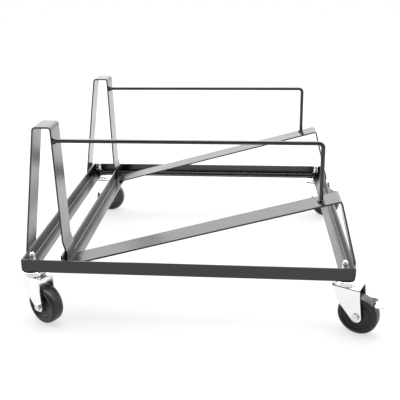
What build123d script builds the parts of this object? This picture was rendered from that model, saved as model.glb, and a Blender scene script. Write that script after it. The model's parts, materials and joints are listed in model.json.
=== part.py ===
from build123d import *
import os
from math import atan2, cos, degrees, radians, sin, tan

# Stack-chair dolly: a welded angle-iron frame on four swivel casters, with two
# inverted-U uprights at the left, two sloped seat bars, and two round guide rods.
# Working frame while modelling: X right along the front rail from its left end,
# Y back from the front rail's outer face, Z up from the floor. Heights of the
# frame's features are given above the underside of its rails.

os.makedirs("parts", exist_ok=True)

# ---- driving dimensions (mm) ----
LENGTH = 629.0            # front and back rails, end to end
DEPTH = 581.0             # over the front and back rails
ANGLE = 25.4              # leg of the angle iron
ANGLE_T = 3.2             # angle iron thickness
ANGLE_ROOT = 3.0          # fillet in the root of the angle
ANGLE_TOE = 1.4           # rounding on the toes of the angle
CORNER_R = 5.0            # rounding on the end rails' lower corners
INNER_RAIL_X = 72.5       # outer face of the inner left rail
INNER_RAIL_SET_BACK = 19.0

BAR_W = 50.8              # flat bar width
BAR_T = 3.2               # flat bar thickness
FOOT_BOTTOM = ANGLE_T     # lower end of the bars' feet
FOOT_TOP = ANGLE + 0.8    # height where a foot bends into its leg

UPRIGHT_TOP = 278.0       # top face
UPRIGHT_TOP_W = 36.6      # outside width over the top bend
UPRIGHT_LEAN = 10.8       # middle of the top, right of the middle of the feet
KNEE_X = 73.6             # outer face of the right leg where it bends in to its foot
KNEE_Z = 45.0
UPRIGHT_BEND = 7.0        # outside radius of the top bends
UPRIGHT_Y = {"front": 38.8, "back": 513.3}

SEAT_Y = {"front": 24.9, "back": 492.1}
SEAT_LOW_X = 88.5         # low end of the sloped seat bar
SEAT_APEX_X = 602.0       # outside corner where the bar turns down
SEAT_APEX_Z = 147.5
SEAT_BEND = 6.5           # outside radius at that corner

ROD_D = 7.9
ROD_Z = 250.2             # centre of the level run
ROD_X = 566.0             # centre of the vertical run
ROD_BEND = 9.0            # centreline radius
ROD_Y = {"front": 44.6, "back": 528.0}
BEAD_R = 7.0              # weld bead round a rod end
BEAD_TIP = 0.4            # what the bead adds to the rod's radius at its tip
BEAD_H = 6.0

STEM_INSET = 17.0         # caster axis from the frame's outer faces
STEM_D = 11.1
STEM_TOP = 34.0           # top of the threaded stem
STEM_HOLE_D = 12.0
STEM_NUT_FLATS = 15.9
STEM_NUT_H = 9.5
WASHER_R = 9.8
WASHER_T = 1.8

# Casters. Their local frame has the swivel axis on Z, the trail towards +X, and
# Z=0 on the underside of the rail.
CASTER_H = 104.0          # floor to the underside of the rails
WHEEL_R = 38.1
WHEEL_W = 27.0
TRAIL = 29.8              # swivel axis to axle
HEADING = {"front_left": -33.0, "front_right": -27.0, "back_left": 4.0, "back_right": -24.0}   # degrees
BRAKED = ("front_right", "back_right")

CUP_R = 24.0              # upper race cup
CUP_H = 8.0
CUP_T = 2.4
CUP_LIP = 2.0
CUP_CHAMFER = 1.6
BALL_D = 4.4
BALL_GAP = 0.12           # between the balls and the cup
BALL_RING_R = 16.2
BALL_COUNT = 18
RACE_TOP = -7.2           # lower race
RACE_R = 20.4
CROWN_TOP = -9.6
CROWN_T = 2.6
CROWN_R = 22.6
CROWN_REAR = 34.0         # trailing edge of the fork crown
CROWN_FRONT = -17.5
KINGPIN_HOLE_R = 6.4
KINGPIN_HEAD_R = 8.4
KINGPIN_HEAD_H = 3.4
RUN_GAP = 0.4             # between pieces that turn past each other
LEG_GAP = 32.0            # between the fork legs
LEG_T = 2.6
LEG_EYE_R = 10.2
AXLE_D = 8.0
AXLE_FIT = 0.05           # play on the axle's radius
AXLE_FLATS = 12.7
AXLE_HEAD_H = 4.8
AXLE_NUT_H = 6.2
AXLE_TIP = 2.0            # bolt end standing out of the nut
BUSHING_R = 6.6
BUSHING_FIT = 0.06
HUB_L = 30.8

# Brakes: an arm outside the far fork leg brings its nose down on the tread.
BRAKE_PIVOT = (31.0, -44.0)      # x, z
BRAKE_PIN_R = 2.6
PIN_HEAD_R = 4.6
PIN_HEAD_H = 1.6
LEVER_T = 2.4
LEVER_EYE_R = 5.0
NOSE_ANGLE = 36.0                # the nose's place round the wheel
NOSE_GAP = 2.9                   # nose to tread with the pedal up
NOSE_H = 4.0
PEDAL_L = 15.5
PEDAL_RISE = 3.4
PEDAL_SPAN = (-10.0, 14.0)       # across the wheel, from its middle
PEDAL_CORNER = 9.0

RAIL_Z = CASTER_H
AXLE_Z = WHEEL_R - CASTER_H
LEG_OUTER = LEG_GAP / 2 + LEG_T
ARM_Y = LEG_OUTER + RUN_GAP                      # near face of the brake arm
FOOT_LEFT = -BAR_T                               # outer faces of the upright's feet
FOOT_RIGHT = INNER_RAIL_X + ANGLE_T + BAR_T
UPRIGHT_MIDDLE = (FOOT_LEFT + FOOT_RIGHT) / 2 + UPRIGHT_LEAN
SEAT_SLOPE = atan2(SEAT_APEX_Z - ANGLE_T - BAR_T, SEAT_APEX_X - SEAT_LOW_X)
TINY = 0.05                                      # tolerance for picking edges by place
FAR = 200.0                                      # longer than anything it cuts
FROM_BOTTOM = (Align.CENTER, Align.CENTER, Align.MIN)


def seat_top_z(x):
    """Height of the seat bar's top face."""
    return SEAT_APEX_Z - (SEAT_APEX_X - x) * tan(SEAT_SLOPE)


def upright_face_x(z):
    """Outer face of the upright's right leg at a height."""
    top = UPRIGHT_MIDDLE + UPRIGHT_TOP_W / 2
    return top + (KNEE_X - top) * (UPRIGHT_TOP - z) / (UPRIGHT_TOP - KNEE_Z)


def near(value, target):
    return abs(value - target) < TINY


def polygon_face(points):
    """A face in the XZ plane from (x, z) points."""
    with BuildSketch(Plane.XZ) as sketch:
        with BuildLine():
            Polyline(*points, close=True)
        make_face()
    return sketch.sketch


def revolved(points):
    """Turn a closed (r, z) outline about the Z axis."""
    return revolve(polygon_face(points), Axis.Z)


def along_y(solid):
    """Turn a solid that stands on Z=0 to run towards +Y from Y=0."""
    return Rot(-90, 0, 0) * solid


def hexagon(across_flats, height):
    """A nut or bolt head on Z=0 with its top rim chamfered."""
    prism = extrude(RegularPolygon(across_flats / 2, 6, major_radius=False), height)
    rim = prism.faces().sort_by(Axis.Z)[-1].edges()
    return chamfer(rim, 0.6)


# ---- angle-iron rails ----
def angle_bar(length, trim):
    """Angle along +X: upright leg on Y=0, flat leg on Z=0 towards +Y.

    The flat leg stops short of each end by trim, where a side rail is coped
    over the end rail it meets.
    """
    corner = [(0, 0), (ANGLE, 0), (ANGLE, ANGLE_T), (ANGLE_T, ANGLE_T), (ANGLE_T, ANGLE), (0, ANGLE)]
    bar = extrude(make_face(Plane.YZ * Polyline(*corner, close=True)), length)

    def edges_at(solid, y, z):
        along_x = solid.edges().filter_by(Axis.X)
        return along_x.filter_by(lambda e: near(e.center().Y, y) and near(e.center().Z, z))

    bar = fillet(edges_at(bar, ANGLE_T, ANGLE_T), ANGLE_ROOT)
    bar = fillet(edges_at(bar, ANGLE, ANGLE_T), ANGLE_TOE)
    bar = fillet(edges_at(bar, ANGLE_T, ANGLE), ANGLE_TOE)
    if trim > 0:
        # The cope takes the flat leg and the root fillet, and leaves the upright leg.
        flat_leg = Box(trim, FAR, ANGLE_T, align=(Align.MIN, Align.CENTER, Align.MIN))
        root = Box(trim, FAR, ANGLE_ROOT, align=(Align.MIN, Align.MIN, Align.MIN))
        for start in (0, length - trim):
            bar -= Pos(start, 0, 0) * flat_leg
            bar -= Pos(start, ANGLE_T, ANGLE_T) * root
    return bar


def end_rail():
    """Front rail, with the two caster stem holes and rounded lower corners."""
    rail = angle_bar(LENGTH, 0)
    for x in (STEM_INSET, LENGTH - STEM_INSET):
        rail -= Pos(x, STEM_INSET, 0) * Cylinder(STEM_HOLE_D / 2, ANGLE_T * 4)
    silhouette = Box(LENGTH, FAR, ANGLE, align=(Align.MIN, Align.CENTER, Align.MIN))
    lower_corners = silhouette.edges().filter_by(Axis.Y).filter_by(lambda e: near(e.center().Z, 0))
    return rail & fillet(lower_corners, CORNER_R)


def side_rail(set_back, x, flat_leg_left):
    """A rail from front to back with its upright leg's outer face at x."""
    trim = ANGLE - set_back
    turned = Rot(0, 0, 90) * angle_bar(DEPTH - 2 * set_back, trim)
    if not flat_leg_left:
        turned = mirror(turned, Plane.YZ)
    return Pos(x, set_back, RAIL_Z) * turned


def rails():
    front = Pos(0, 0, RAIL_Z) * end_rail()
    back = Pos(0, DEPTH, RAIL_Z) * mirror(end_rail(), Plane.XZ)
    return {
        "front_rail": front,
        "back_rail": back,
        "left_rail": side_rail(ANGLE_T, 0, False) - front - back,
        "right_rail": side_rail(ANGLE_T, LENGTH, True) - front - back,
        "inner_left_rail": side_rail(INNER_RAIL_SET_BACK, INNER_RAIL_X, False),
    }


# ---- flat bars bent across their thickness ----
def bent_bar(points, outside_radii, y):
    """A flat bar whose outer face follows (x, z) points, thickness to the right of travel."""
    outer = [Vector(px, 0, pz) for px, pz in points]
    inner = []
    for i, point in enumerate(outer):
        normals = []
        for a, b in ((i - 1, i), (i, i + 1)):
            if 0 <= a and b < len(outer):
                run = (outer[b] - outer[a]).normalized()
                normals.append(Vector(run.Z, 0, -run.X))
        middle = (normals[0] + normals[-1]).normalized()
        inner.append(point + middle * (BAR_T / middle.dot(normals[0])))
    loop = [(v.X, v.Z) for v in outer + inner[::-1]]
    bar = extrude(polygon_face(loop), -BAR_W)            # towards +Y
    for point, inside, radius in zip(outer[1:-1], inner[1:-1], outside_radii):
        if radius <= BAR_T:
            continue
        for corner, r in ((point, radius), (inside, radius - BAR_T)):
            edge = bar.edges().filter_by(Axis.Y).filter_by(
                lambda e: near(e.center().X, corner.X) and near(e.center().Z, corner.Z))
            bar = fillet(edge, r)
    return Pos(0, y, RAIL_Z) * bar


def upright(y):
    """Inverted U: left foot outside the left rail, right foot inside the inner rail."""
    points = [
        (FOOT_LEFT, FOOT_BOTTOM),
        (FOOT_LEFT, FOOT_TOP),
        (UPRIGHT_MIDDLE - UPRIGHT_TOP_W / 2, UPRIGHT_TOP),
        (UPRIGHT_MIDDLE + UPRIGHT_TOP_W / 2, UPRIGHT_TOP),
        (KNEE_X, KNEE_Z),
        (FOOT_RIGHT, FOOT_TOP),
        (FOOT_RIGHT, FOOT_BOTTOM),
    ]
    return bent_bar(points, (0, UPRIGHT_BEND, UPRIGHT_BEND, 0, 0), y)


def seat_bar(y):
    """Sloped bar from the inner rail's flat leg to its apex, then down outside the right rail."""
    foot_x = LENGTH + BAR_T
    points = [
        (SEAT_LOW_X, seat_top_z(SEAT_LOW_X)),
        (SEAT_APEX_X, SEAT_APEX_Z),
        (foot_x, FOOT_TOP),
        (foot_x, FOOT_BOTTOM),
    ]
    # The low end is cut level to sit flat on the rail.
    below = Box(FAR, FAR, FAR, align=(Align.CENTER, Align.CENTER, Align.MAX))
    return bent_bar(points, (SEAT_BEND, 0), y) - Pos(SEAT_LOW_X, y, RAIL_Z + ANGLE_T) * below


# ---- round guide rods ----
def guide_rod(y, leg, seat):
    """Level run from the upright's leg, one bend, and a drop to the seat bar."""
    start = (upright_face_x(ROD_Z) - BAR_T / 2, y, RAIL_Z + ROD_Z)
    corner = (ROD_X, y, RAIL_Z + ROD_Z)
    end = (ROD_X, y, RAIL_Z + seat_top_z(ROD_X) - BAR_T / 2)
    section = Plane(origin=start, z_dir=(1, 0, 0)) * Circle(ROD_D / 2)
    rod = sweep(section, path=FilletPolyline(start, corner, end, radius=ROD_BEND))
    return rod - leg - seat


def weld_beads(y, bar_y, leg, seat, rod):
    """One bead round each end of a rod, trimmed by what it is welded to and by the leg's width."""
    lean = degrees(atan2(KNEE_X - upright_face_x(UPRIGHT_TOP), UPRIGHT_TOP - KNEE_Z))
    at_leg = Pos(upright_face_x(ROD_Z), y, RAIL_Z + ROD_Z) * Rot(0, 90 - lean, 0)
    at_seat = Pos(ROD_X, y, RAIL_Z + seat_top_z(ROD_X)) * Rot(0, -degrees(SEAT_SLOPE), 0)
    bead = Cone(BEAD_R, ROD_D / 2 + BEAD_TIP, BEAD_H, align=FROM_BOTTOM)
    leg_width = Pos(0, bar_y, 0) * Box(FAR * 2, BAR_W, FAR * 4, align=(Align.CENTER, Align.MIN, Align.CENTER))
    return [(at_leg * bead & leg_width) - leg - rod, at_seat * bead - seat - rod]


# ---- casters ----
def stem():
    """Threaded stem with its kingpin head under the fork crown."""
    head_top = CROWN_TOP - CROWN_T - RUN_GAP
    head_low = head_top - KINGPIN_HEAD_H
    r = STEM_D / 2
    shaft = revolved([
        (0, head_low), (KINGPIN_HEAD_R - 1.4, head_low), (KINGPIN_HEAD_R, head_low + 1.2),
        (KINGPIN_HEAD_R, head_top), (r, head_top), (r, STEM_TOP), (0, STEM_TOP),
    ])
    tip = shaft.edges().filter_by(GeomType.CIRCLE).sort_by(Axis.Z)[-1]
    return fillet(tip, r * 0.82)


def race_cup():
    r = STEM_D / 2
    lip = CUP_R - CUP_LIP
    return revolved([
        (r, 0), (CUP_R - CUP_CHAMFER, 0), (CUP_R, -CUP_CHAMFER), (CUP_R, -CUP_H),
        (lip, -CUP_H), (lip, -CUP_T), (r, -CUP_T),
    ])


def race_balls():
    ball = Pos(BALL_RING_R, 0, -(CUP_T + BALL_GAP + BALL_D / 2)) * Sphere(BALL_D / 2)
    return Compound(children=[Rot(0, 0, 360 * k / BALL_COUNT) * ball for k in range(BALL_COUNT)])


def leg_outline():
    """Side view of a fork leg: broad at the crown, round at the axle."""
    with BuildSketch(Plane.XZ) as sketch:
        with BuildLine():
            Polyline(
                (CROWN_FRONT - 1.5, CROWN_TOP),
                (CROWN_REAR, CROWN_TOP),
                (TRAIL + LEG_EYE_R, AXLE_Z),
                (TRAIL - LEG_EYE_R * 0.84, AXLE_Z - LEG_EYE_R * 0.54),
                (CROWN_FRONT + 14.0, CROWN_TOP - 34.5),
                (CROWN_FRONT, CROWN_TOP - 8.0),
                close=True,
            )
        make_face()
        with Locations((TRAIL, AXLE_Z)):
            Circle(LEG_EYE_R)
    return sketch.sketch


def fork():
    """Pressed steel fork: crown with its ball race, two legs, and axle holes."""
    width = 2 * LEG_OUTER
    rear = Box(CROWN_REAR, width, CROWN_T, align=(Align.MIN, Align.CENTER, Align.MAX))
    front = Box(-CROWN_FRONT, width, CROWN_T, align=(Align.MAX, Align.CENTER, Align.MAX))
    body = Pos(0, 0, CROWN_TOP - CROWN_T) * Cylinder(CROWN_R, CROWN_T, align=FROM_BOTTOM)
    body += Pos(0, 0, CROWN_TOP) * rear + Pos(0, 0, CROWN_TOP) * front
    body += Pos(0, 0, CROWN_TOP) * Cylinder(RACE_R, RACE_TOP - CROWN_TOP, align=FROM_BOTTOM)
    leg = extrude(leg_outline(), -LEG_T)                 # from Y=0 to Y=LEG_T
    body += Pos(0, LEG_GAP / 2, 0) * leg + Pos(0, -LEG_OUTER, 0) * leg
    body -= Cylinder(KINGPIN_HOLE_R, FAR)
    body -= Pos(TRAIL, 0, AXLE_Z) * Rot(90, 0, 0) * Cylinder(AXLE_D / 2 + AXLE_FIT, FAR)
    return body


def wheel():
    """Hard rubber wheel: rounded tread, dished sides and a raised hub."""
    side = WHEEL_W / 2
    hub = HUB_L / 2
    bore = BUSHING_R + BUSHING_FIT
    # (radius, half width) from the hub's end face out to the tread.
    half_outline = [
        (bore, hub), (11.5, hub), (12.5, side - 3.0), (15.5, side - 4.6), (23.5, side - 4.6),
        (26.0, side - 1.8), (29.5, side - 1.2), (33.5, side - 0.2), (36.3, side - 1.6),
        (37.7, side - 4.4), (WHEEL_R, side - 8.5),
    ]
    other_half = [(r, -z) for r, z in reversed(half_outline)]
    return Pos(TRAIL, 0, AXLE_Z) * Rot(90, 0, 0) * revolved(half_outline + other_half)


def bushing():
    tube = Cylinder(BUSHING_R, LEG_GAP) - Cylinder(AXLE_D / 2 + AXLE_FIT, FAR)
    return Pos(TRAIL, 0, AXLE_Z) * Rot(90, 0, 0) * tube


def axle_bolt():
    """Bolt from the near side, through both legs and the nut."""
    shaft = Cylinder(AXLE_D / 2, 2 * LEG_OUTER + AXLE_NUT_H + AXLE_TIP, align=FROM_BOTTOM)
    head = mirror(hexagon(AXLE_FLATS, AXLE_HEAD_H), Plane.XY)
    return Pos(TRAIL, -LEG_OUTER, AXLE_Z) * along_y(head + shaft)


def axle_nut():
    nut = hexagon(AXLE_FLATS, AXLE_NUT_H) - Cylinder(AXLE_D / 2, FAR)
    return Pos(TRAIL, LEG_OUTER, AXLE_Z) * along_y(nut)


def brake_lever():
    """Arm from an eye on the pin to a nose across the back of the tread, with a pedal behind it."""
    px, pz = BRAKE_PIVOT
    angle = radians(NOSE_ANGLE)
    out = Vector(cos(angle), 0, sin(angle))
    up = Vector(-sin(angle), 0, cos(angle))
    nose = Vector(TRAIL, 0, AXLE_Z) + out * (WHEEL_R + NOSE_GAP)
    corners = [nose, nose + up * NOSE_H, nose + up * NOSE_H + out * LEVER_T, nose + out * LEVER_T]
    nose_face = polygon_face([(v.X, v.Z) for v in corners])
    nx, nz = nose.X, nose.Z
    arm_face = polygon_face([
        (px, pz - LEVER_EYE_R), (px, pz + LEVER_EYE_R), (nx, nz + 5.0), (nx + 2.4, nz + 3.4),
        (nx + 1.0, nz), (nx - 4.0, nz - 2.4),
    ])
    pedal_low = nz + PEDAL_RISE - LEVER_T / 2
    pedal_face = polygon_face([
        (nx + 0.4, nz + 0.2), (nx + 1.8, nz + 2.8), (nx + PEDAL_L, pedal_low + LEVER_T), (nx + PEDAL_L, pedal_low),
    ])
    near_y, far_y = PEDAL_SPAN
    pedal = Pos(0, near_y, 0) * extrude(pedal_face, near_y - far_y)
    tail = pedal.edges().filter_by(lambda e: near(e.center().X, nx + PEDAL_L)).filter_by(Axis.Z)
    arm = extrude(arm_face, -LEVER_T) + Pos(px, 0, pz) * along_y(Cylinder(LEVER_EYE_R, LEVER_T, align=FROM_BOTTOM))
    lever = Pos(0, near_y, 0) * extrude(nose_face, near_y - ARM_Y - LEVER_T)
    lever += Pos(0, ARM_Y, 0) * arm
    lever += fillet(tail, PEDAL_CORNER)
    return lever - Pos(px, 0, pz) * Rot(90, 0, 0) * Cylinder(BRAKE_PIN_R + BUSHING_FIT, FAR)


def brake_pin():
    """Pin through the far fork leg and the arm, headed at each end."""
    px, pz = BRAKE_PIVOT
    inner = LEG_GAP / 2 - PIN_HEAD_H
    outer = ARM_Y + LEVER_T + RUN_GAP
    shaft = Cylinder(BRAKE_PIN_R, outer - inner, align=FROM_BOTTOM)
    head = Cylinder(PIN_HEAD_R, PIN_HEAD_H, align=FROM_BOTTOM)
    return Pos(px, inner, pz) * along_y(shaft + head + Pos(0, 0, outer - inner) * head)


# ---- assembly ----
nodes = rails()
for end in ("front", "back"):
    leg = upright(UPRIGHT_Y[end]) - nodes["inner_left_rail"]
    seat = seat_bar(SEAT_Y[end]) - nodes["inner_left_rail"]
    rod = guide_rod(ROD_Y[end], leg, seat)
    nodes[end + "_upright"] = leg
    nodes[end + "_seat_bar"] = seat
    nodes[end + "_guide_rod"] = rod
    nodes[end + "_rod_welds"] = Compound(children=weld_beads(ROD_Y[end], UPRIGHT_Y[end], leg, seat, rod))

stem_nut = Pos(0, 0, WASHER_T) * (hexagon(STEM_NUT_FLATS, STEM_NUT_H) - Cylinder(STEM_D / 2, FAR))
stem_washer = Cylinder(WASHER_R, WASHER_T, align=FROM_BOTTOM) - Cylinder(STEM_D / 2, FAR)
near_x, far_x = STEM_INSET, LENGTH - STEM_INSET
near_y, far_y = STEM_INSET, DEPTH - STEM_INSET
CORNERS = {
    "front_left": (near_x, near_y),
    "front_right": (far_x, near_y),
    "back_left": (near_x, far_y),
    "back_right": (far_x, far_y),
}
stem_nuts = []
stem_washers = []
for corner, (cx, cy) in CORNERS.items():
    at = Pos(cx, cy, RAIL_Z) * Rot(0, 0, HEADING[corner])
    pieces = {
        "stem": stem(),
        "race_cup": race_cup(),
        "race_balls": race_balls(),
        "fork": fork(),
        "wheel": wheel(),
        "bushing": bushing(),
        "axle_bolt": axle_bolt(),
        "axle_nut": axle_nut(),
    }
    if corner in BRAKED:
        pieces["brake_lever"] = brake_lever()
        pieces["brake_pin"] = brake_pin()
        pieces["fork"] -= pieces["brake_pin"]
    for piece, solid in pieces.items():
        nodes[corner + "_" + piece] = at * solid
    on_rail = Pos(cx, cy, RAIL_Z + ANGLE_T)
    stem_washers.append(on_rail * stem_washer)
    stem_nuts.append(on_rail * stem_nut)
nodes["stem_washers"] = Compound(children=stem_washers)
nodes["stem_nuts"] = Compound(children=stem_nuts)

# The row's origin is on the floor, under the middle of everything.
box = Compound(children=[Compound(n.solids()) for n in nodes.values()]).bounding_box()
shift = Location((-(box.min.X + box.max.X) / 2, -(box.min.Y + box.max.Y) / 2, -box.min.Z))
print("origin shift", shift.position, "size", box.size)
for name, shape in nodes.items():
    export_step(shift * Compound(shape.solids()), "parts/" + name + ".step")
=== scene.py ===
"""Looks for the stack-chair dolly: materials, pressed and turned caster pieces, threads and weld beads.

Everything is in metres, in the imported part's frame. Caster pieces are modelled in a local frame with the
swivel axis on Z, the trail towards +X and Z=0 under the rail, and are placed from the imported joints.
"""

import json
import math
import random

import bmesh
import bpy
from mathutils import Matrix, Vector, noise


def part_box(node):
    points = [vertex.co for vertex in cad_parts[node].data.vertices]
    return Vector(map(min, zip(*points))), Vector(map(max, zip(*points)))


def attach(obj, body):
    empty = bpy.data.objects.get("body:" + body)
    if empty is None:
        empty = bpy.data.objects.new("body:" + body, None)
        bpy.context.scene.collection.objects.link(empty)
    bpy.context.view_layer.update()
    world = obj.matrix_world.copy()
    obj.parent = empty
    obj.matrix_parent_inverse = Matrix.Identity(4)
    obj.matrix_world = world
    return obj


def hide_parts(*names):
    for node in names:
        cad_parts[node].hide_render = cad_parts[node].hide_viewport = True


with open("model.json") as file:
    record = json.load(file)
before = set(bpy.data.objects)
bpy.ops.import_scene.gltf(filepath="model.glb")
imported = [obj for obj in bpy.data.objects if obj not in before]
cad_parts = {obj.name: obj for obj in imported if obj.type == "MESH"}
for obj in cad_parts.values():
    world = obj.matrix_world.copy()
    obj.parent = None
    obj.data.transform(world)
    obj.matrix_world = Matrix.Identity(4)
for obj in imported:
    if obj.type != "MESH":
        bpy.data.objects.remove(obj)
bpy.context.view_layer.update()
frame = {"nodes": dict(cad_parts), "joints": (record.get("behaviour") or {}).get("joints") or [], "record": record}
NODES = frame["nodes"]
JOINTS = {joint["name"]: joint for joint in frame["joints"]}
CORNERS = ("front_left", "front_right", "back_left", "back_right")
ENDS = ("front", "back")
MM = 0.001

# ---- sizes that the CAD part also uses ----
ANGLE_T = 3.2 * MM               # thickness of the angle iron
BAR_T = 3.2 * MM
ROD_R = 3.95 * MM
CROWN_TOP = -9.6 * MM            # top of the fork crown, below the rail
CROWN_T = 2.6 * MM
CROWN_R = 22.6 * MM              # the crown's round front
CROWN_REAR = 34.0 * MM
CROWN_FRONT = -17.5 * MM         # front edge of a leg, under the crown
LEG_OUTER = 18.6 * MM            # half the width over the fork legs
LEG_EYE_R = 10.2 * MM
RACE_R = 20.4 * MM
RACE_TOP = -7.2 * MM
CUP_R = 24.0 * MM
CUP_H = 8.0 * MM
CUP_T = 2.4 * MM
STEM_R = 5.55 * MM
STEM_TOP = 34.0 * MM
KINGPIN_HEAD_R = 8.4 * MM
KINGPIN_LOW = -16.0 * MM
WHEEL_HALF = 13.5 * MM           # half the wheel's width at its widest
HUB_HALF = 15.4 * MM
HUB_R = 11.3 * MM
BORE_R = 6.66 * MM

# ---- sizes of the pressed fork ----
BEND_R = 3.4 * MM                # to the middle of the sheet
EDGE_DROP = 8.0 * MM             # upright stretch of a leg's front edge, below the crown
WAIST_BACK = 14.0 * MM           # the front edge's corner half way down, behind CROWN_FRONT
WAIST_DROP = 34.5 * MM
EYE_FRONT = (-0.84, -0.54)       # where the front edge runs into the eye, in eye radii
RACE_FOOT_R = RACE_R + 1.6 * MM  # where the slope up to the raised race starts
RACE_SLOPE = 2.4 * MM
SHEET_ROUND = 0.7 * MM           # on the sheet's edges
CROWN_ROWS, BEND_ROWS, LEG_ROWS = 12, 6, 40
FORK_COLUMNS = 40

# ---- sizes of the stem's thread and tip ----
THREAD_PITCH = 1.81 * MM
THREAD_DEPTH = 0.55 * MM
THREAD_LOW = -2.0 * MM
RINGS_IN_PITCH = 10
TIP_H = 7.2 * MM
TIP_R = 5.0 * MM

# ---- the wheel's side, from the hub out: radius, and depth below the widest place, in mm ----
HUB_FOOT = [(12.3, 1.6), (13.0, 3.4)]
WEB = [(15.4, 4.4), (21.6, 4.4)]
RING = [(22.9, 2.4), (25.6, 2.2)]
GROOVE = [(26.4, 3.0), (28.0, 3.0)]
RIM = [(28.9, 0.6), (32.6, 0.0)]
SHOULDER = [(35.3, 0.7), (36.6, 2.5), (37.5, 5.0), (38.0, 9.0)]
PARTING_HALF = 0.9 * MM          # the mould's parting line round the tread
PARTING_DEPTH = 0.25 * MM

# ---- sizes of the weld beads ----
RIPPLE = 1.7 * MM                # from one ripple of a bead to the next
BEAD_RISE = 0.62                 # height of a bead against half its width
CORNER_BEAD = 2.6 * MM           # half widths
INNER_BEAD = 2.4 * MM
FOOT_BEAD = 2.2 * MM
TOE_BEAD = 1.6 * MM
BEAD_INSET = 4.0 * MM            # a bead's end, short of the bar's edge
COLLAR_R = 6.6 * MM              # bead round a guide rod's end
COLLAR_H = 6.0 * MM
ROD_LEAN = 2.6                   # degrees that the upright's leg leans back from the rod
APEX_PAST_ROD = 36.0 * MM        # from a guide rod's outer side to the seat bar's bend

# Sockets of the Mix node by number, because their names repeat for each type of data.
MIX_FACTOR, FLOAT_A, FLOAT_B, COLOR_A, COLOR_B = 0, 2, 3, 6, 7
FLOAT_RESULT, COLOR_RESULT = 0, 2


# ---- node materials ----
def map_range(tree, source, low, high, out_low, out_high):
    """Map low..high of a socket onto out_low..out_high, clamped."""
    node = tree.nodes.new("ShaderNodeMapRange")
    for key, value in zip(("From Min", "From Max", "To Min", "To Max"), (low, high, out_low, out_high)):
        node.inputs[key].default_value = value
    tree.links.new(source, node.inputs["Value"])
    return node.outputs["Result"]


class Shader:
    """Short calls for building one material's nodes."""

    def __init__(self, name):
        self.material = bpy.data.materials.new(name)
        self.material.use_nodes = True
        self.tree = self.material.node_tree
        self.bsdf = self.tree.nodes["Principled BSDF"]
        self.coords = self.add("ShaderNodeTexCoord").outputs["Object"]

    def add(self, kind, **values):
        """Add a node. Each value is set as its property or, where it has none, as the socket's constant."""
        node = self.tree.nodes.new(kind)
        for key, value in values.items():
            if hasattr(node, key):
                setattr(node, key, value)
            else:
                node.inputs[key].default_value = value
        return node

    def link(self, source, target):
        self.tree.links.new(source, target)

    def noise(self, scale, detail, roughness=0.5, stretch=None):
        node = self.add("ShaderNodeTexNoise", Scale=scale, Detail=detail, Roughness=roughness)
        source = self.coords
        if stretch:
            mapping = self.add("ShaderNodeMapping", Scale=stretch)
            self.link(source, mapping.inputs["Vector"])
            source = mapping.outputs["Vector"]
        self.link(source, node.inputs["Vector"])
        return node.outputs["Fac"]

    def ramp(self, source, low, high, out_low=0.0, out_high=1.0):
        return map_range(self.tree, source, low, high, out_low, out_high)

    def math(self, operation, a, b):
        node = self.add("ShaderNodeMath", operation=operation)
        for socket, value in zip(node.inputs, (a, b)):
            if isinstance(value, float):
                socket.default_value = value
            else:
                self.link(value, socket)
        return node.outputs["Value"]

    def mix(self, factor, a, b):
        """Mix the colour a with b, a colour or a socket, by a factor socket."""
        node = self.add("ShaderNodeMix", data_type="RGBA")
        self.link(factor, node.inputs[MIX_FACTOR])
        node.inputs[COLOR_A].default_value = (*a, 1)
        if isinstance(b, tuple):
            node.inputs[COLOR_B].default_value = (*b, 1)
        else:
            self.link(b, node.inputs[COLOR_B])
        return node.outputs[COLOR_RESULT]

    def edges(self, radius):
        """0 on flat faces, rising to 1 on sharp outer edges within a radius."""
        bevel = self.add("ShaderNodeBevel", samples=4, Radius=radius)
        geometry = self.add("ShaderNodeNewGeometry")
        cosine = self.add("ShaderNodeVectorMath", operation="DOT_PRODUCT")
        self.link(bevel.outputs["Normal"], cosine.inputs[0])
        self.link(geometry.outputs["Normal"], cosine.inputs[1])
        return self.ramp(cosine.outputs["Value"], 0.97, 0.75)

    def bump(self, height, distance, strength):
        node = self.add("ShaderNodeBump", Distance=distance, Strength=strength)
        self.link(height, node.inputs["Height"])
        return node.outputs["Normal"]

    def finish(self, color, roughness, normal, **constants):
        """Link the sockets to the surface, set its constants and return the material."""
        self.link(color, self.bsdf.inputs["Base Color"])
        if roughness is not None:
            self.link(roughness, self.bsdf.inputs["Roughness"])
        self.link(normal, self.bsdf.inputs["Normal"])
        for key, value in constants.items():
            self.bsdf.inputs[key.replace("_", " ")].default_value = value
        return self.material


def powder_coat(name, shade):
    """Semi-gloss black powder coat: orange peel, a little dust, thin rubbed edges."""
    s = Shader(name)
    black, worn = (shade, shade, shade * 1.04), (0.05, 0.05, 0.052)
    peel = s.noise(620.0, detail=2.0)
    cloud = s.noise(9.0, detail=4.0)
    dust = s.ramp(s.noise(36.0, detail=6.0, roughness=0.7), 0.56, 0.78, 0.0, 0.15)
    patches = s.ramp(s.noise(120.0, detail=5.0), 0.42, 0.62, 0.0, 0.55)
    rubbed = s.math("MULTIPLY", s.edges(0.7 * MM), patches)
    color = s.mix(dust, black, s.mix(rubbed, black, worn))
    rough = s.math("ADD", s.ramp(cloud, 0.3, 0.7, 0.22, 0.31), s.math("MULTIPLY", dust, 0.10))
    height = s.math("ADD", peel, s.math("MULTIPLY", cloud, 0.4))
    return s.finish(color, rough, s.bump(height, 0.05 * MM, 0.30), Specular_IOR_Level=0.62)


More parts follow.
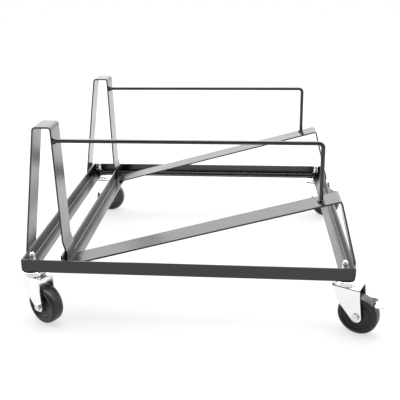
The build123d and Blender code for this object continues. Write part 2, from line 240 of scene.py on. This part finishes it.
def bright_plate():
    """Bright zinc plate over pressed steel: faint drawing marks and handling haze."""
    s = Shader("bright_plate")
    marks = s.noise(55.0, detail=4.0, stretch=(1.0, 1.0, 6.0))
    haze = s.noise(26.0, detail=5.0, roughness=0.6)
    color = s.mix(s.ramp(haze, 0.35, 0.7), (0.83, 0.83, 0.84), (0.91, 0.91, 0.91))
    rough = s.ramp(haze, 0.3, 0.75, 0.20, 0.32)
    return s.finish(color, rough, s.bump(marks, 0.03 * MM, 0.25), Metallic=1.0)


def turned_hardware(name, low, high, rough):
    """Turned and plated hardware: fine lathe lines and a mottled plate."""
    s = Shader(name)
    lines = s.noise(900.0, detail=1.0, stretch=(0.15, 0.15, 1.0))
    mottle = s.noise(180.0, detail=4.0)
    color = s.mix(s.ramp(mottle, 0.35, 0.65), low, high)
    return s.finish(color, s.ramp(mottle, 0.3, 0.7, *rough), s.bump(lines, 0.02 * MM, 0.3), Metallic=1.0)


def dull_zinc():
    """Pale, dull zinc plate with a soft mottle."""
    s = Shader("dull_zinc")
    mottle = s.noise(140.0, detail=4.0)
    color = s.mix(s.ramp(mottle, 0.3, 0.7), (0.66, 0.66, 0.67), (0.84, 0.84, 0.84))
    rough = s.ramp(mottle, 0.3, 0.7, 0.42, 0.55)
    return s.finish(color, rough, s.bump(mottle, 0.02 * MM, 0.2), Metallic=0.25)


def hard_rubber():
    """Moulded hard rubber: satin black with fine pits, thin dust and scuffed edges."""
    s = Shader("hard_rubber")
    pits = s.noise(1500.0, detail=2.0)
    cloud = s.noise(45.0, detail=5.0, roughness=0.65)
    scuffs = s.ramp(s.noise(240.0, detail=6.0, roughness=0.75), 0.52, 0.70)
    scuffed = s.math("MULTIPLY", scuffs, s.edges(1.2 * MM))
    dusty = s.mix(s.ramp(cloud, 0.45, 0.75, 0.0, 0.6), (0.010, 0.010, 0.0105), (0.020, 0.020, 0.020))
    color = s.mix(scuffed, (0.012, 0.012, 0.012), dusty)
    rough = s.ramp(cloud, 0.3, 0.75, 0.28, 0.42)
    height = s.math("ADD", pits, s.math("MULTIPLY", cloud, 2.0))
    return s.finish(color, rough, s.bump(height, 0.04 * MM, 0.25), Specular_IOR_Level=0.35)


def floor_paper():
    """White floor with a faint fibre. Its own glow lifts it to the backdrop's white."""
    s = Shader("floor_paper")
    fibre = s.noise(350.0, detail=3.0)
    color = s.mix(s.ramp(fibre, 0.3, 0.7), (0.138, 0.138, 0.138), (0.144, 0.144, 0.144))
    normal = s.bump(fibre, 0.1 * MM, 0.1)
    return s.finish(color, None, normal, Roughness=0.9, Specular_IOR_Level=0.1, Emission_Strength=0.66)


COAT = powder_coat("powder_coat", 0.0035)
# The beads' black is a touch darker than the frame's on the same paint: painted shade for their darker look.
WELD_COAT_PAINTED_SHADE = powder_coat("powder_coat_weld_painted_shade", 0.003)
BRIGHT = bright_plate()
DULL = dull_zinc()
ZINC = turned_hardware("zinc_hardware", (0.62, 0.62, 0.63), (0.78, 0.78, 0.78), (0.34, 0.5))
DARK_STEEL = turned_hardware("dark_hardware", (0.07, 0.07, 0.072), (0.13, 0.13, 0.13), (0.26, 0.42))
RUBBER = hard_rubber()
BY_SLOT = {
    "black_coated_steel": COAT,
    "bright_plated_steel": BRIGHT,
    "zinc_steel_hardware": ZINC,
    "dark_steel_hardware": DARK_STEEL,
    "black_hard_rubber": RUBBER,
}


# ---- mesh helpers ----
SMOOTH_ANGLE = 35.0              # degrees, above which an edge is sharp


def shade(mesh, smooth_angle):
    mesh.shade_smooth()
    mesh.set_sharp_from_angle(angle=math.radians(smooth_angle))


def new_object(name, vertices, faces, material, smooth_angle=SMOOTH_ANGLE):
    mesh = bpy.data.meshes.new(name)
    mesh.from_pydata([tuple(v) for v in vertices], [], faces)
    mesh.validate()
    build = bmesh.new()
    build.from_mesh(mesh)
    bmesh.ops.recalc_face_normals(build, faces=build.faces)
    build.to_mesh(mesh)
    build.free()
    shade(mesh, smooth_angle)
    mesh.materials.append(material)
    made = bpy.data.objects.new(name, mesh)
    bpy.context.scene.collection.objects.link(made)
    return made


def apply_modifiers(made):
    graph = bpy.context.evaluated_depsgraph_get()
    mesh = bpy.data.meshes.new_from_object(made.evaluated_get(graph))
    made.modifiers.clear()
    made.data = mesh
    shade(mesh, SMOOTH_ANGLE)


def grid_faces(rows, columns):
    """Faces of a sheet of rows by columns, whose vertices are listed row by row."""
    faces = []
    for row in range(rows):
        for column in range(columns):
            a = row * (columns + 1) + column
            faces.append((a, a + 1, a + columns + 2, a + columns + 1))
    return faces


def tube_faces(rings, segments):
    """Faces between rings of segments vertices, listed ring by ring."""
    faces = []
    for ring in range(rings - 1):
        for k in range(segments):
            a, b = ring * segments + k, ring * segments + (k + 1) % segments
            faces.append((a, b, b + segments, a + segments))
    return faces


def on_circle(r, k, segments, z):
    """The k-th of a ring's vertices."""
    turn = 2 * math.pi * k / segments
    return r * math.cos(turn), r * math.sin(turn), z


def lathe(outline, segments=96, closed=True):
    """Vertices and faces of an (r, z) outline turned about Z. Points on the axis share one vertex."""
    vertices, rings = [], []
    for r, z in outline:
        if r < 1e-7:
            rings.append([len(vertices)] * segments)
            vertices.append((0.0, 0.0, z))
        else:
            rings.append(list(range(len(vertices), len(vertices) + segments)))
            vertices += [on_circle(r, k, segments, z) for k in range(segments)]
    faces = []
    pairs = list(zip(rings, rings[1:]))
    if closed:
        pairs.append((rings[-1], rings[0]))
    for low, high in pairs:
        for k in range(segments):
            face = [low[k], low[(k + 1) % segments], high[(k + 1) % segments], high[k]]
            face = [v for i, v in enumerate(face) if v not in face[:i]]
            if len(face) > 2:
                faces.append(face)
    return vertices, faces


def arc(centre, radius, start, end, steps):
    """Points on an arc, from start to end in degrees."""
    turns = [math.radians(start + (end - start) * k / steps) for k in range(steps + 1)]
    return [(centre[0] + radius * math.cos(t), centre[1] + radius * math.sin(t)) for t in turns]


def soften(outline, radius):
    """Round every corner of a closed outline."""
    points = []
    steps = 2
    count = len(outline)
    for i in range(count):
        before, here, after = (Vector(outline[(i + k) % count]) for k in (-1, 0, 1))
        back, ahead = before - here, after - here
        reach = min(radius, back.length * 0.45, ahead.length * 0.45)
        start, end = here + back.normalized() * reach, here + ahead.normalized() * reach
        for k in range(steps + 1):
            t = k / steps
            points.append(tuple(start * (1 - t) ** 2 + here * 2 * t * (1 - t) + end * t * t))
    return points


# ---- caster pieces, in the caster's local frame ----
def caster_frame(corner):
    """One caster's local frame as a matrix, and the axle's place in it: trail, and height below the rail."""
    swivel = Vector(JOINTS[corner + "_swivel"]["pos_m"])
    axle = Vector(JOINTS[corner + "_wheel_spin"]["pos_m"])
    trail = Vector((axle.x - swivel.x, axle.y - swivel.y, 0))
    forward = trail.normalized()
    side = Vector((-forward.y, forward.x, 0))
    placed = Matrix((forward, side, Vector((0, 0, 1)))).transposed().to_4x4()
    placed.translation = swivel
    return placed, trail.length, axle.z - swivel.z


def place(made, placed, body, *replaced):
    made.data.transform(placed)
    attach(made, body)
    if replaced:
        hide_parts(*replaced)


def leg_span(z, trail, axle_z):
    """Front and rear edges of a fork leg at a height, rounded into the eye."""
    front_low = Vector((trail + LEG_EYE_R * EYE_FRONT[0], axle_z + LEG_EYE_R * EYE_FRONT[1]))
    front_mid = Vector((CROWN_FRONT + WAIST_BACK, CROWN_TOP - WAIST_DROP))
    front_top = Vector((CROWN_FRONT, CROWN_TOP - EDGE_DROP))
    rear_top = Vector((CROWN_REAR, CROWN_TOP))
    rear_low = Vector((trail + LEG_EYE_R, axle_z))
    half_eye = math.sqrt(max(LEG_EYE_R ** 2 - (z - axle_z) ** 2, 0))

    def along(a, b):
        t = (z - a.y) / (b.y - a.y)
        return a.x + (b.x - a.x) * t

    if z > front_top.y:
        front = CROWN_FRONT
    elif z > front_mid.y:
        front = along(front_top, front_mid)
    elif z > front_low.y:
        front = along(front_mid, front_low)
    else:
        front = trail - half_eye
    rear = along(rear_top, rear_low) if z > rear_low.y else trail + half_eye
    return front, rear


def fork_rows(trail, axle_z):
    """Lines along X in the middle of the sheet, (y, z, front x, rear x), from one eye over to the other."""
    middle_y = LEG_OUTER - CROWN_T / 2
    middle_z = CROWN_TOP - CROWN_T / 2
    flat = middle_y - BEND_R
    leg_top = middle_z - BEND_R
    leg_low = axle_z - LEG_EYE_R + CROWN_T * 0.02      # a hair up, so that the last row has some width
    rows = []                                   # from the crown's middle outwards
    for k in range(CROWN_ROWS + 1):
        y = flat * k / CROWN_ROWS
        rows.append((y, middle_z, -math.sqrt(CROWN_R ** 2 - y * y), CROWN_REAR))
    for k in range(1, BEND_ROWS + 1):
        turn = math.radians(90 * k / BEND_ROWS)
        z = leg_top + BEND_R * math.cos(turn)
        rows.append((flat + BEND_R * math.sin(turn), z, *leg_span(z, trail, axle_z)))
    for k in range(1, LEG_ROWS + 1):
        # Rows crowd towards the eye's bottom, where the leg closes.
        z = leg_top + (leg_low - leg_top) * math.sin(math.radians(90 * k / LEG_ROWS))
        rows.append((middle_y, z, *leg_span(z, trail, axle_z)))
    return [(-y, z, a, b) for y, z, a, b in reversed(rows[1:])] + rows


def race_lift(x, y):
    """Rise of the crown at a point, for the shallow step round the kingpin that carries the lower race."""
    step = min(max((RACE_FOOT_R - math.hypot(x, y)) / RACE_SLOPE, 0), 1)
    return (RACE_TOP - CROWN_TOP) * step * step * (3 - 2 * step)


def fork_shell(corner, trail, axle_z):
    """The fork as one pressed sheet: crown, two bends, two legs and a raised race."""
    rows = fork_rows(trail, axle_z)
    crown_low = CROWN_TOP - CROWN_T / 2 - BEND_R * 0.1      # rows below this one belong to the legs
    vertices = []
    for y, z, front, rear in rows:
        for column in range(FORK_COLUMNS + 1):
            x = front + (rear - front) * column / FORK_COLUMNS
            vertices.append((x, y, z + race_lift(x, y) if z > crown_low else z))
    faces = grid_faces(len(rows) - 1, FORK_COLUMNS)
    shell = new_object(corner + "_fork_shell", vertices, faces, BRIGHT)
    sheet = shell.modifiers.new("sheet", "SOLIDIFY")
    sheet.thickness = CROWN_T
    sheet.offset = 0
    edge = shell.modifiers.new("edge", "BEVEL")
    edge.width = SHEET_ROUND
    edge.segments = 2
    edge.angle_limit = math.radians(50)
    apply_modifiers(shell)
    return shell


def wheel(corner, tread_r):
    """Hard rubber wheel with stepped sides and the mould's parting line round the tread."""
    side = HUB_FOOT + WEB + RING + GROOVE + RIM + SHOULDER
    half = [(BORE_R, HUB_HALF), (HUB_R, HUB_HALF)]
    half += [(r * MM, WHEEL_HALF - depth * MM) for r, depth in side]
    parting = [(tread_r, PARTING_HALF), (tread_r - PARTING_DEPTH, 0.0), (tread_r, -PARTING_HALF)]
    outline = half + parting + [(r, -z) for r, z in reversed(half)]
    vertices, faces = lathe(soften(outline, 0.55 * MM), segments=128)
    return new_object(corner + "_tyre", vertices, faces, RUBBER, smooth_angle=60.0)


def threaded_stem(corner):
    """Stem with a real thread that fades out below a bullet tip."""
    segments = 40
    step = THREAD_PITCH / RINGS_IN_PITCH
    tip_start = STEM_TOP - TIP_H
    heights = [THREAD_LOW + step * i for i in range(math.ceil((tip_start - THREAD_LOW) / step))]
    vertices = []
    for z in heights:
        fade = min(1.0, (tip_start - z) / (2 * THREAD_PITCH))
        for k in range(segments):
            # Flat crests and roots, with straight flanks between them.
            phase = (z / THREAD_PITCH - k / segments) % 1.0
            groove = min(max(abs(phase - 0.5) * 2.6 - 0.3, 0), 1)
            vertices.append(on_circle(STEM_R - THREAD_DEPTH * fade * groove, k, segments, z))
    dome = arc((0.0, STEM_TOP - TIP_R), TIP_R, 35, 90, 9)[:-1]      # its top is a single vertex
    for r, z in dome:
        vertices += [on_circle(r, k, segments, z) for k in range(segments)]
    rings = len(heights) + len(dome)
    faces = tube_faces(rings, segments)
    vertices.append((0, 0, STEM_TOP))
    last, tip = (rings - 1) * segments, rings * segments
    faces += [(last + k, last + (k + 1) % segments, tip) for k in range(segments)]
    faces.append(tuple(range(segments - 1, -1, -1)))
    return new_object(corner + "_threaded_stem", vertices, faces, ZINC,
                      smooth_angle=50.0)


def kingpin(corner):
    """Swivel pin: a chamfered head under the crown, dished in the middle, and a shank up into the stem."""
    head_top = CROWN_TOP - CROWN_T - 0.4 * MM      # a running gap below the crown
    chamfer = 1.2 * MM
    shank_top = -1.0 * MM
    outline = [
        (0.0, KINGPIN_LOW + 0.3 * MM), (4.0 * MM, KINGPIN_LOW), (KINGPIN_HEAD_R - chamfer, KINGPIN_LOW),
        (KINGPIN_HEAD_R, KINGPIN_LOW + chamfer), (KINGPIN_HEAD_R, head_top), (STEM_R, head_top),
        (STEM_R, shank_top), (0.0, shank_top),
    ]
    vertices, faces = lathe(outline, segments=64, closed=False)
    return new_object(corner + "_kingpin", vertices, faces, ZINC)


def race_cup(corner):
    """Stamped upper race: a stepped cap with a rolled lip."""
    bore = STEM_R + 0.1 * MM
    boss = [(bore, 0.0), (13.0 * MM, 0.0)]
    groove = [(14.2 * MM, -0.7 * MM), (17.5 * MM, -0.9 * MM)]
    brim = [(18.6 * MM, -0.1 * MM), (21.6 * MM, -0.4 * MM), (CUP_R - 0.8 * MM, -2.0 * MM)]
    lip = [
        (CUP_R - 0.5 * MM, -CUP_H + 2.6 * MM), (CUP_R, -CUP_H + 2.2 * MM), (CUP_R, -CUP_H + 0.4 * MM),
        (CUP_R - 0.6 * MM, -CUP_H), (CUP_R - 2.0 * MM, -CUP_H),
    ]
    inside = [(CUP_R - 2.2 * MM, -CUP_T - 0.6 * MM), (CUP_R - 3.4 * MM, -CUP_T), (bore, -CUP_T)]
    vertices, faces = lathe(soften(boss + groove + brim + lip + inside, 0.5 * MM))
    return new_object(corner + "_stamped_cup", vertices, faces, BRIGHT,
                      smooth_angle=55.0)


def build_caster(corner):
    placed, trail, axle_z = caster_frame(corner)
    tread_r = JOINTS[corner + "_wheel_spin"]["pos_m"][2]      # the wheel stands on the floor
    on_axle = placed @ Matrix.Translation((trail, 0, axle_z)) @ Matrix.Rotation(math.radians(90), 4, "X")
    place(fork_shell(corner, trail, axle_z), placed, corner + "_caster", corner + "_fork")
    place(wheel(corner, tread_r), on_axle, corner + "_wheel_body", corner + "_wheel")
    place(threaded_stem(corner), placed, "frame", corner + "_stem")
    place(kingpin(corner), placed, "frame")
    place(race_cup(corner), placed, "frame", corner + "_race_cup")


# ---- weld beads ----
def weld_line(name, start, end, up, width, seed):
    """A stack-of-coins bead from start to end, lying on the seam, its crown towards up."""
    random.seed(seed)
    offset = random.random() * 50
    start, end, up = Vector(start), Vector(end), Vector(up).normalized()
    run = (end - start).normalized()
    across = run.cross(up).normalized()
    length = (end - start).length
    stations = max(int(length / (RIPPLE / 5)), 12)
    turns = [math.pi * k / 8 for k in range(9)]
    section = [(-math.cos(turn), BEAD_RISE * math.sin(turn)) for turn in turns]   # from one toe to the other
    vertices = []
    for i in range(stations + 1):
        d = length * i / stations
        taper = min(1.0, math.sqrt(max(min(d, length - d) / (width * 0.9), 0.0)) + 0.12)
        scallop = 0.84 + 0.16 * math.sin(math.pi * ((d / RIPPLE) % 1.0)) ** 0.5
        wander = 1 + 0.12 * noise.noise(Vector((d * 300, offset, 0)))
        w = width * taper * scallop * wander
        for a, h in section:
            # Each ripple bows forward along the run, but the ends stay flat.
            lag = 0 if i in (0, stations) else (1 - a * a) * RIPPLE * 0.5
            vertices.append(start + run * (d + lag) + across * a * w + up * h * w)
    n = len(section)
    faces = grid_faces(stations, n - 1)
    faces += [(i * n, (i + 1) * n, (i + 1) * n + n - 1, i * n + n - 1) for i in range(stations)]
    faces.append(tuple(range(n)))
    faces.append(tuple(range(stations * n + n - 1, stations * n - 1, -1)))
    made = new_object(name, vertices, faces, WELD_COAT_PAINTED_SHADE, smooth_angle=70.0)
    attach(made, "frame")


def rod_collar(name, base, axis, height, seed, clip=None):
    """The lumpy bead round a rod's end: a fillet from the bar's face up to the rod, clipped in Y."""
    random.seed(seed)
    offset = random.random() * 50
    base, axis = Vector(base), Vector(axis).normalized()
    side = axis.orthogonal().normalized()
    other = axis.cross(side)
    segments, levels = 56, 12
    vertices = []
    for level in range(levels + 1):
        t = level / levels
        rooted = level == 0                     # the lowest ring is tucked in under the face
        rise = height * t - (0.35 * MM if rooted else 0)
        for k in range(segments):
            turn = 2 * math.pi * k / segments
            lump = 1 + 0.16 * noise.noise(Vector((math.cos(turn) * 2, math.sin(turn) * 2, offset)))
            lump += 0.06 * math.sin(turn * 9 + 2.5 * t)      # nine ripples, twisting as they rise
            skirt = (COLLAR_R * lump - ROD_R) * (1 - t ** 1.5) ** 0.9
            r = ROD_R * 1.02 + max(skirt, 0)
            if rooted:
                r = max(r - 0.5 * MM, ROD_R)
            point = base + axis * rise + (side * math.cos(turn) + other * math.sin(turn)) * r
            if clip:
                point.y = min(max(point.y, clip[0]), clip[1])
            vertices.append(point)
    faces = tube_faces(levels + 1, segments)
    faces.append(tuple(range(segments)))
    faces.append(tuple(range((levels + 1) * segments - 1, levels * segments - 1, -1)))
    return new_object(name, vertices, faces, WELD_COAT_PAINTED_SHADE, smooth_angle=70.0)


def rod_ends(end):
    """Beads where a guide rod meets the upright's leg and the seat bar."""
    rod_low, rod_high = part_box(end + "_guide_rod")
    leg_low, leg_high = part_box(end + "_upright")
    seat_low, seat_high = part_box(end + "_seat_bar")
    bead_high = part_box(end + "_rod_welds")[1]
    y = (rod_low.y + rod_high.y) / 2
    z = rod_high.z - ROD_R
    at_leg = (rod_low.x + 0.2 * MM, y, z)
    at_seat = (rod_high.x - ROD_R, y, rod_low.z)
    lean = math.radians(ROD_LEAN)
    slope = math.atan2(seat_high.z - seat_low.z - BAR_T, rod_high.x + APEX_PAST_ROD - seat_low.x)
    from_leg = (math.cos(lean), 0, math.sin(lean))
    from_seat = (-math.sin(slope), 0, math.cos(slope))
    leg_y = (leg_low.y, leg_high.y)
    first = rod_collar(end + "_rod_bead_upright", at_leg, from_leg, bead_high.z - z, seed=3, clip=leg_y)
    second = rod_collar(end + "_rod_bead_seat", at_seat, from_seat, COLLAR_H, seed=5)
    for made in (first, second):
        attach(made, "frame")
        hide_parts(end + "_rod_welds")


def foot_weld(name, x, z, bar, up, width, seed):
    """A bead along Y at a bar's end, a little short of the bar's edges."""
    low, high = bar
    weld_line(name, (x, low.y + BEAD_INSET, z), (x, high.y - BEAD_INSET, z), up, width, seed)


def frame_welds():
    """Beads where the rails, the uprights' feet and the seat bars' ends meet."""
    rail_low, rail_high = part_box("front_rail")
    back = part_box("back_rail")[1].y
    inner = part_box("inner_left_rail")[0].x
    left, right, front, top = rail_low.x, rail_high.x, rail_low.y, rail_high.z
    lowest = rail_low.z + ANGLE_T
    seam_low = lowest + 1 * MM
    for word, y, facing in (("front", front + ANGLE_T, 1), ("back", back - ANGLE_T, -1)):
        for side, x, out in (("left", left + ANGLE_T, 1), ("right", right - ANGLE_T, -1)):
            # Inside the corner, up the seam between the two upright legs.
            weld_line(f"weld_{word}_{side}_corner", (x, y, seam_low), (x, y, top - 1.5 * MM),
                      (out, facing, 0), CORNER_BEAD, seed=len(word + side))
        weld_line(f"weld_{word}_inner_rail", (inner, y, seam_low), (inner, y, top - 4 * MM),
                  (-1, facing, 0), INNER_BEAD, seed=7)
    for word in ENDS:
        upright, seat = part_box(word + "_upright"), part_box(word + "_seat_bar")
        foot_weld(f"weld_{word}_upright_left", left, top, upright, (1, 0, 1.2), FOOT_BEAD, 11)
        foot_weld(f"weld_{word}_upright_inner", inner + ANGLE_T, top, upright, (-1, 0, 1.2), FOOT_BEAD, 13)
        foot_weld(f"weld_{word}_seat_foot", right, top, seat, (-1, 0, 1.2), FOOT_BEAD, 17)
        foot_weld(f"weld_{word}_seat_toe", seat[0].x, lowest, seat, (-0.6, 0, 1), TOE_BEAD, 19)


# ---- finishes for the CAD nodes that stay ----
def paint_nodes():
    slots = {part["node"]: part["material_slot"] for part in frame["record"]["subparts"]}
    for name, node in NODES.items():
        node.data.materials.clear()
        node.data.materials.append(DULL if name.endswith("brake_lever") else BY_SLOT[slots[name]])


# ---- stage, lights, camera ----
FLOOR_SIZE, FLOOR_CELLS = 12.0, 12
LAMP_SIZE = (3.2, 2.4)
HORIZON_GLOW, CEILING_GLOW = 1.75, 4.1
UNLIT_SHARE = 0.04               # of the room's light, on the side in front of the object

CAMERA_PLACE = (0.0941, -1.3207, 0.6776)
CAMERA_YAW = -0.0957             # radians, clockwise from +Y
CAMERA_PITCH = -0.2803
CAMERA_ROLL = -0.0179
CAMERA_FOCAL = 1.54975           # in picture widths
CAMERA_SHIFT = (0.020, -0.158)
SENSOR = 36.0


def area_light(name, location, target, power):
    lamp = bpy.data.lights.new(name, "AREA")
    lamp.shape = "RECTANGLE"
    lamp.size, lamp.size_y = LAMP_SIZE
    lamp.energy = power
    made = bpy.data.objects.new(name, lamp)
    made.location = location
    made.rotation_euler = (Vector(target) - Vector(location)).to_track_quat("-Z", "Y").to_euler()
    bpy.context.scene.collection.objects.link(made)
    return made


def stage_floor():
    lines = [FLOOR_SIZE * (i / FLOOR_CELLS - 0.5) for i in range(FLOOR_CELLS + 1)]
    mesh = bpy.data.meshes.new("floor")
    mesh.from_pydata([(x, y, 0) for y in lines for x in lines], [], grid_faces(FLOOR_CELLS, FLOOR_CELLS))
    mesh.materials.append(floor_paper())
    floor = bpy.data.objects.new("floor", mesh)
    bpy.context.scene.collection.objects.link(floor)


def studio_room():
    """A white room lit from above and behind, with an unlit side in front of the object."""
    world = bpy.data.worlds.new("studio")
    bpy.context.scene.world = world
    world.use_nodes = True
    tree = world.node_tree
    nodes, links = tree.nodes, tree.links
    split = nodes.new("ShaderNodeSeparateXYZ")
    links.new(nodes.new("ShaderNodeTexCoord").outputs["Generated"], split.inputs[0])
    room = nodes.new("ShaderNodeMath")
    room.operation = "MULTIPLY"
    links.new(map_range(tree, split.outputs["Z"], 0.0, 0.7, HORIZON_GLOW, CEILING_GLOW), room.inputs[0])
    links.new(map_range(tree, split.outputs["Y"], -0.55, 0.15, UNLIT_SHARE, 1.0), room.inputs[1])
    # The backdrop itself stays white from every side.
    seen = nodes.new("ShaderNodeMix")
    links.new(nodes.new("ShaderNodeLightPath").outputs["Is Camera Ray"], seen.inputs[MIX_FACTOR])
    links.new(room.outputs[0], seen.inputs[FLOAT_A])
    seen.inputs[FLOAT_B].default_value = 1.0
    background = nodes["Background"]
    background.inputs["Color"].default_value = (1, 1, 1, 1)
    links.new(seen.outputs[FLOAT_RESULT], background.inputs["Strength"])


def studio_lamps():
    area_light("overhead", (0.0, 0.5, 2.6), (0, 0, 0.1), 130.0)
    # The lit sweep behind the front rail, brighter than the floor needs to look.
    sweep = area_light("sweep", (0.2, 1.2, 0.002), (0.2, 1.2, 1.0), 26.0)
    sweep.visible_camera = False


def photo_camera():
    yaw, pitch, roll = CAMERA_YAW, CAMERA_PITCH, CAMERA_ROLL
    ahead = Vector((math.sin(yaw) * math.cos(pitch), math.cos(yaw) * math.cos(pitch), math.sin(pitch)))
    level = Vector((math.cos(yaw), -math.sin(yaw), 0))
    upward = level.cross(ahead)
    right = level * math.cos(roll) + upward * math.sin(roll)
    up = -level * math.sin(roll) + upward * math.cos(roll)
    placed = Matrix((right, up, -ahead)).transposed().to_4x4()
    placed.translation = CAMERA_PLACE
    data = bpy.data.cameras.new("camera")
    data.sensor_width = SENSOR
    data.lens = CAMERA_FOCAL * SENSOR
    data.shift_x, data.shift_y = CAMERA_SHIFT
    camera = bpy.data.objects.new("camera", data)
    camera.matrix_world = placed
    bpy.context.scene.collection.objects.link(camera)
    bpy.context.scene.camera = camera


paint_nodes()
for corner in CORNERS:
    build_caster(corner)
for end in ENDS:
    rod_ends(end)
frame_welds()
stage_floor()
studio_room()
studio_lamps()
photo_camera()
bpy.context.scene.view_settings.view_transform = "Standard"
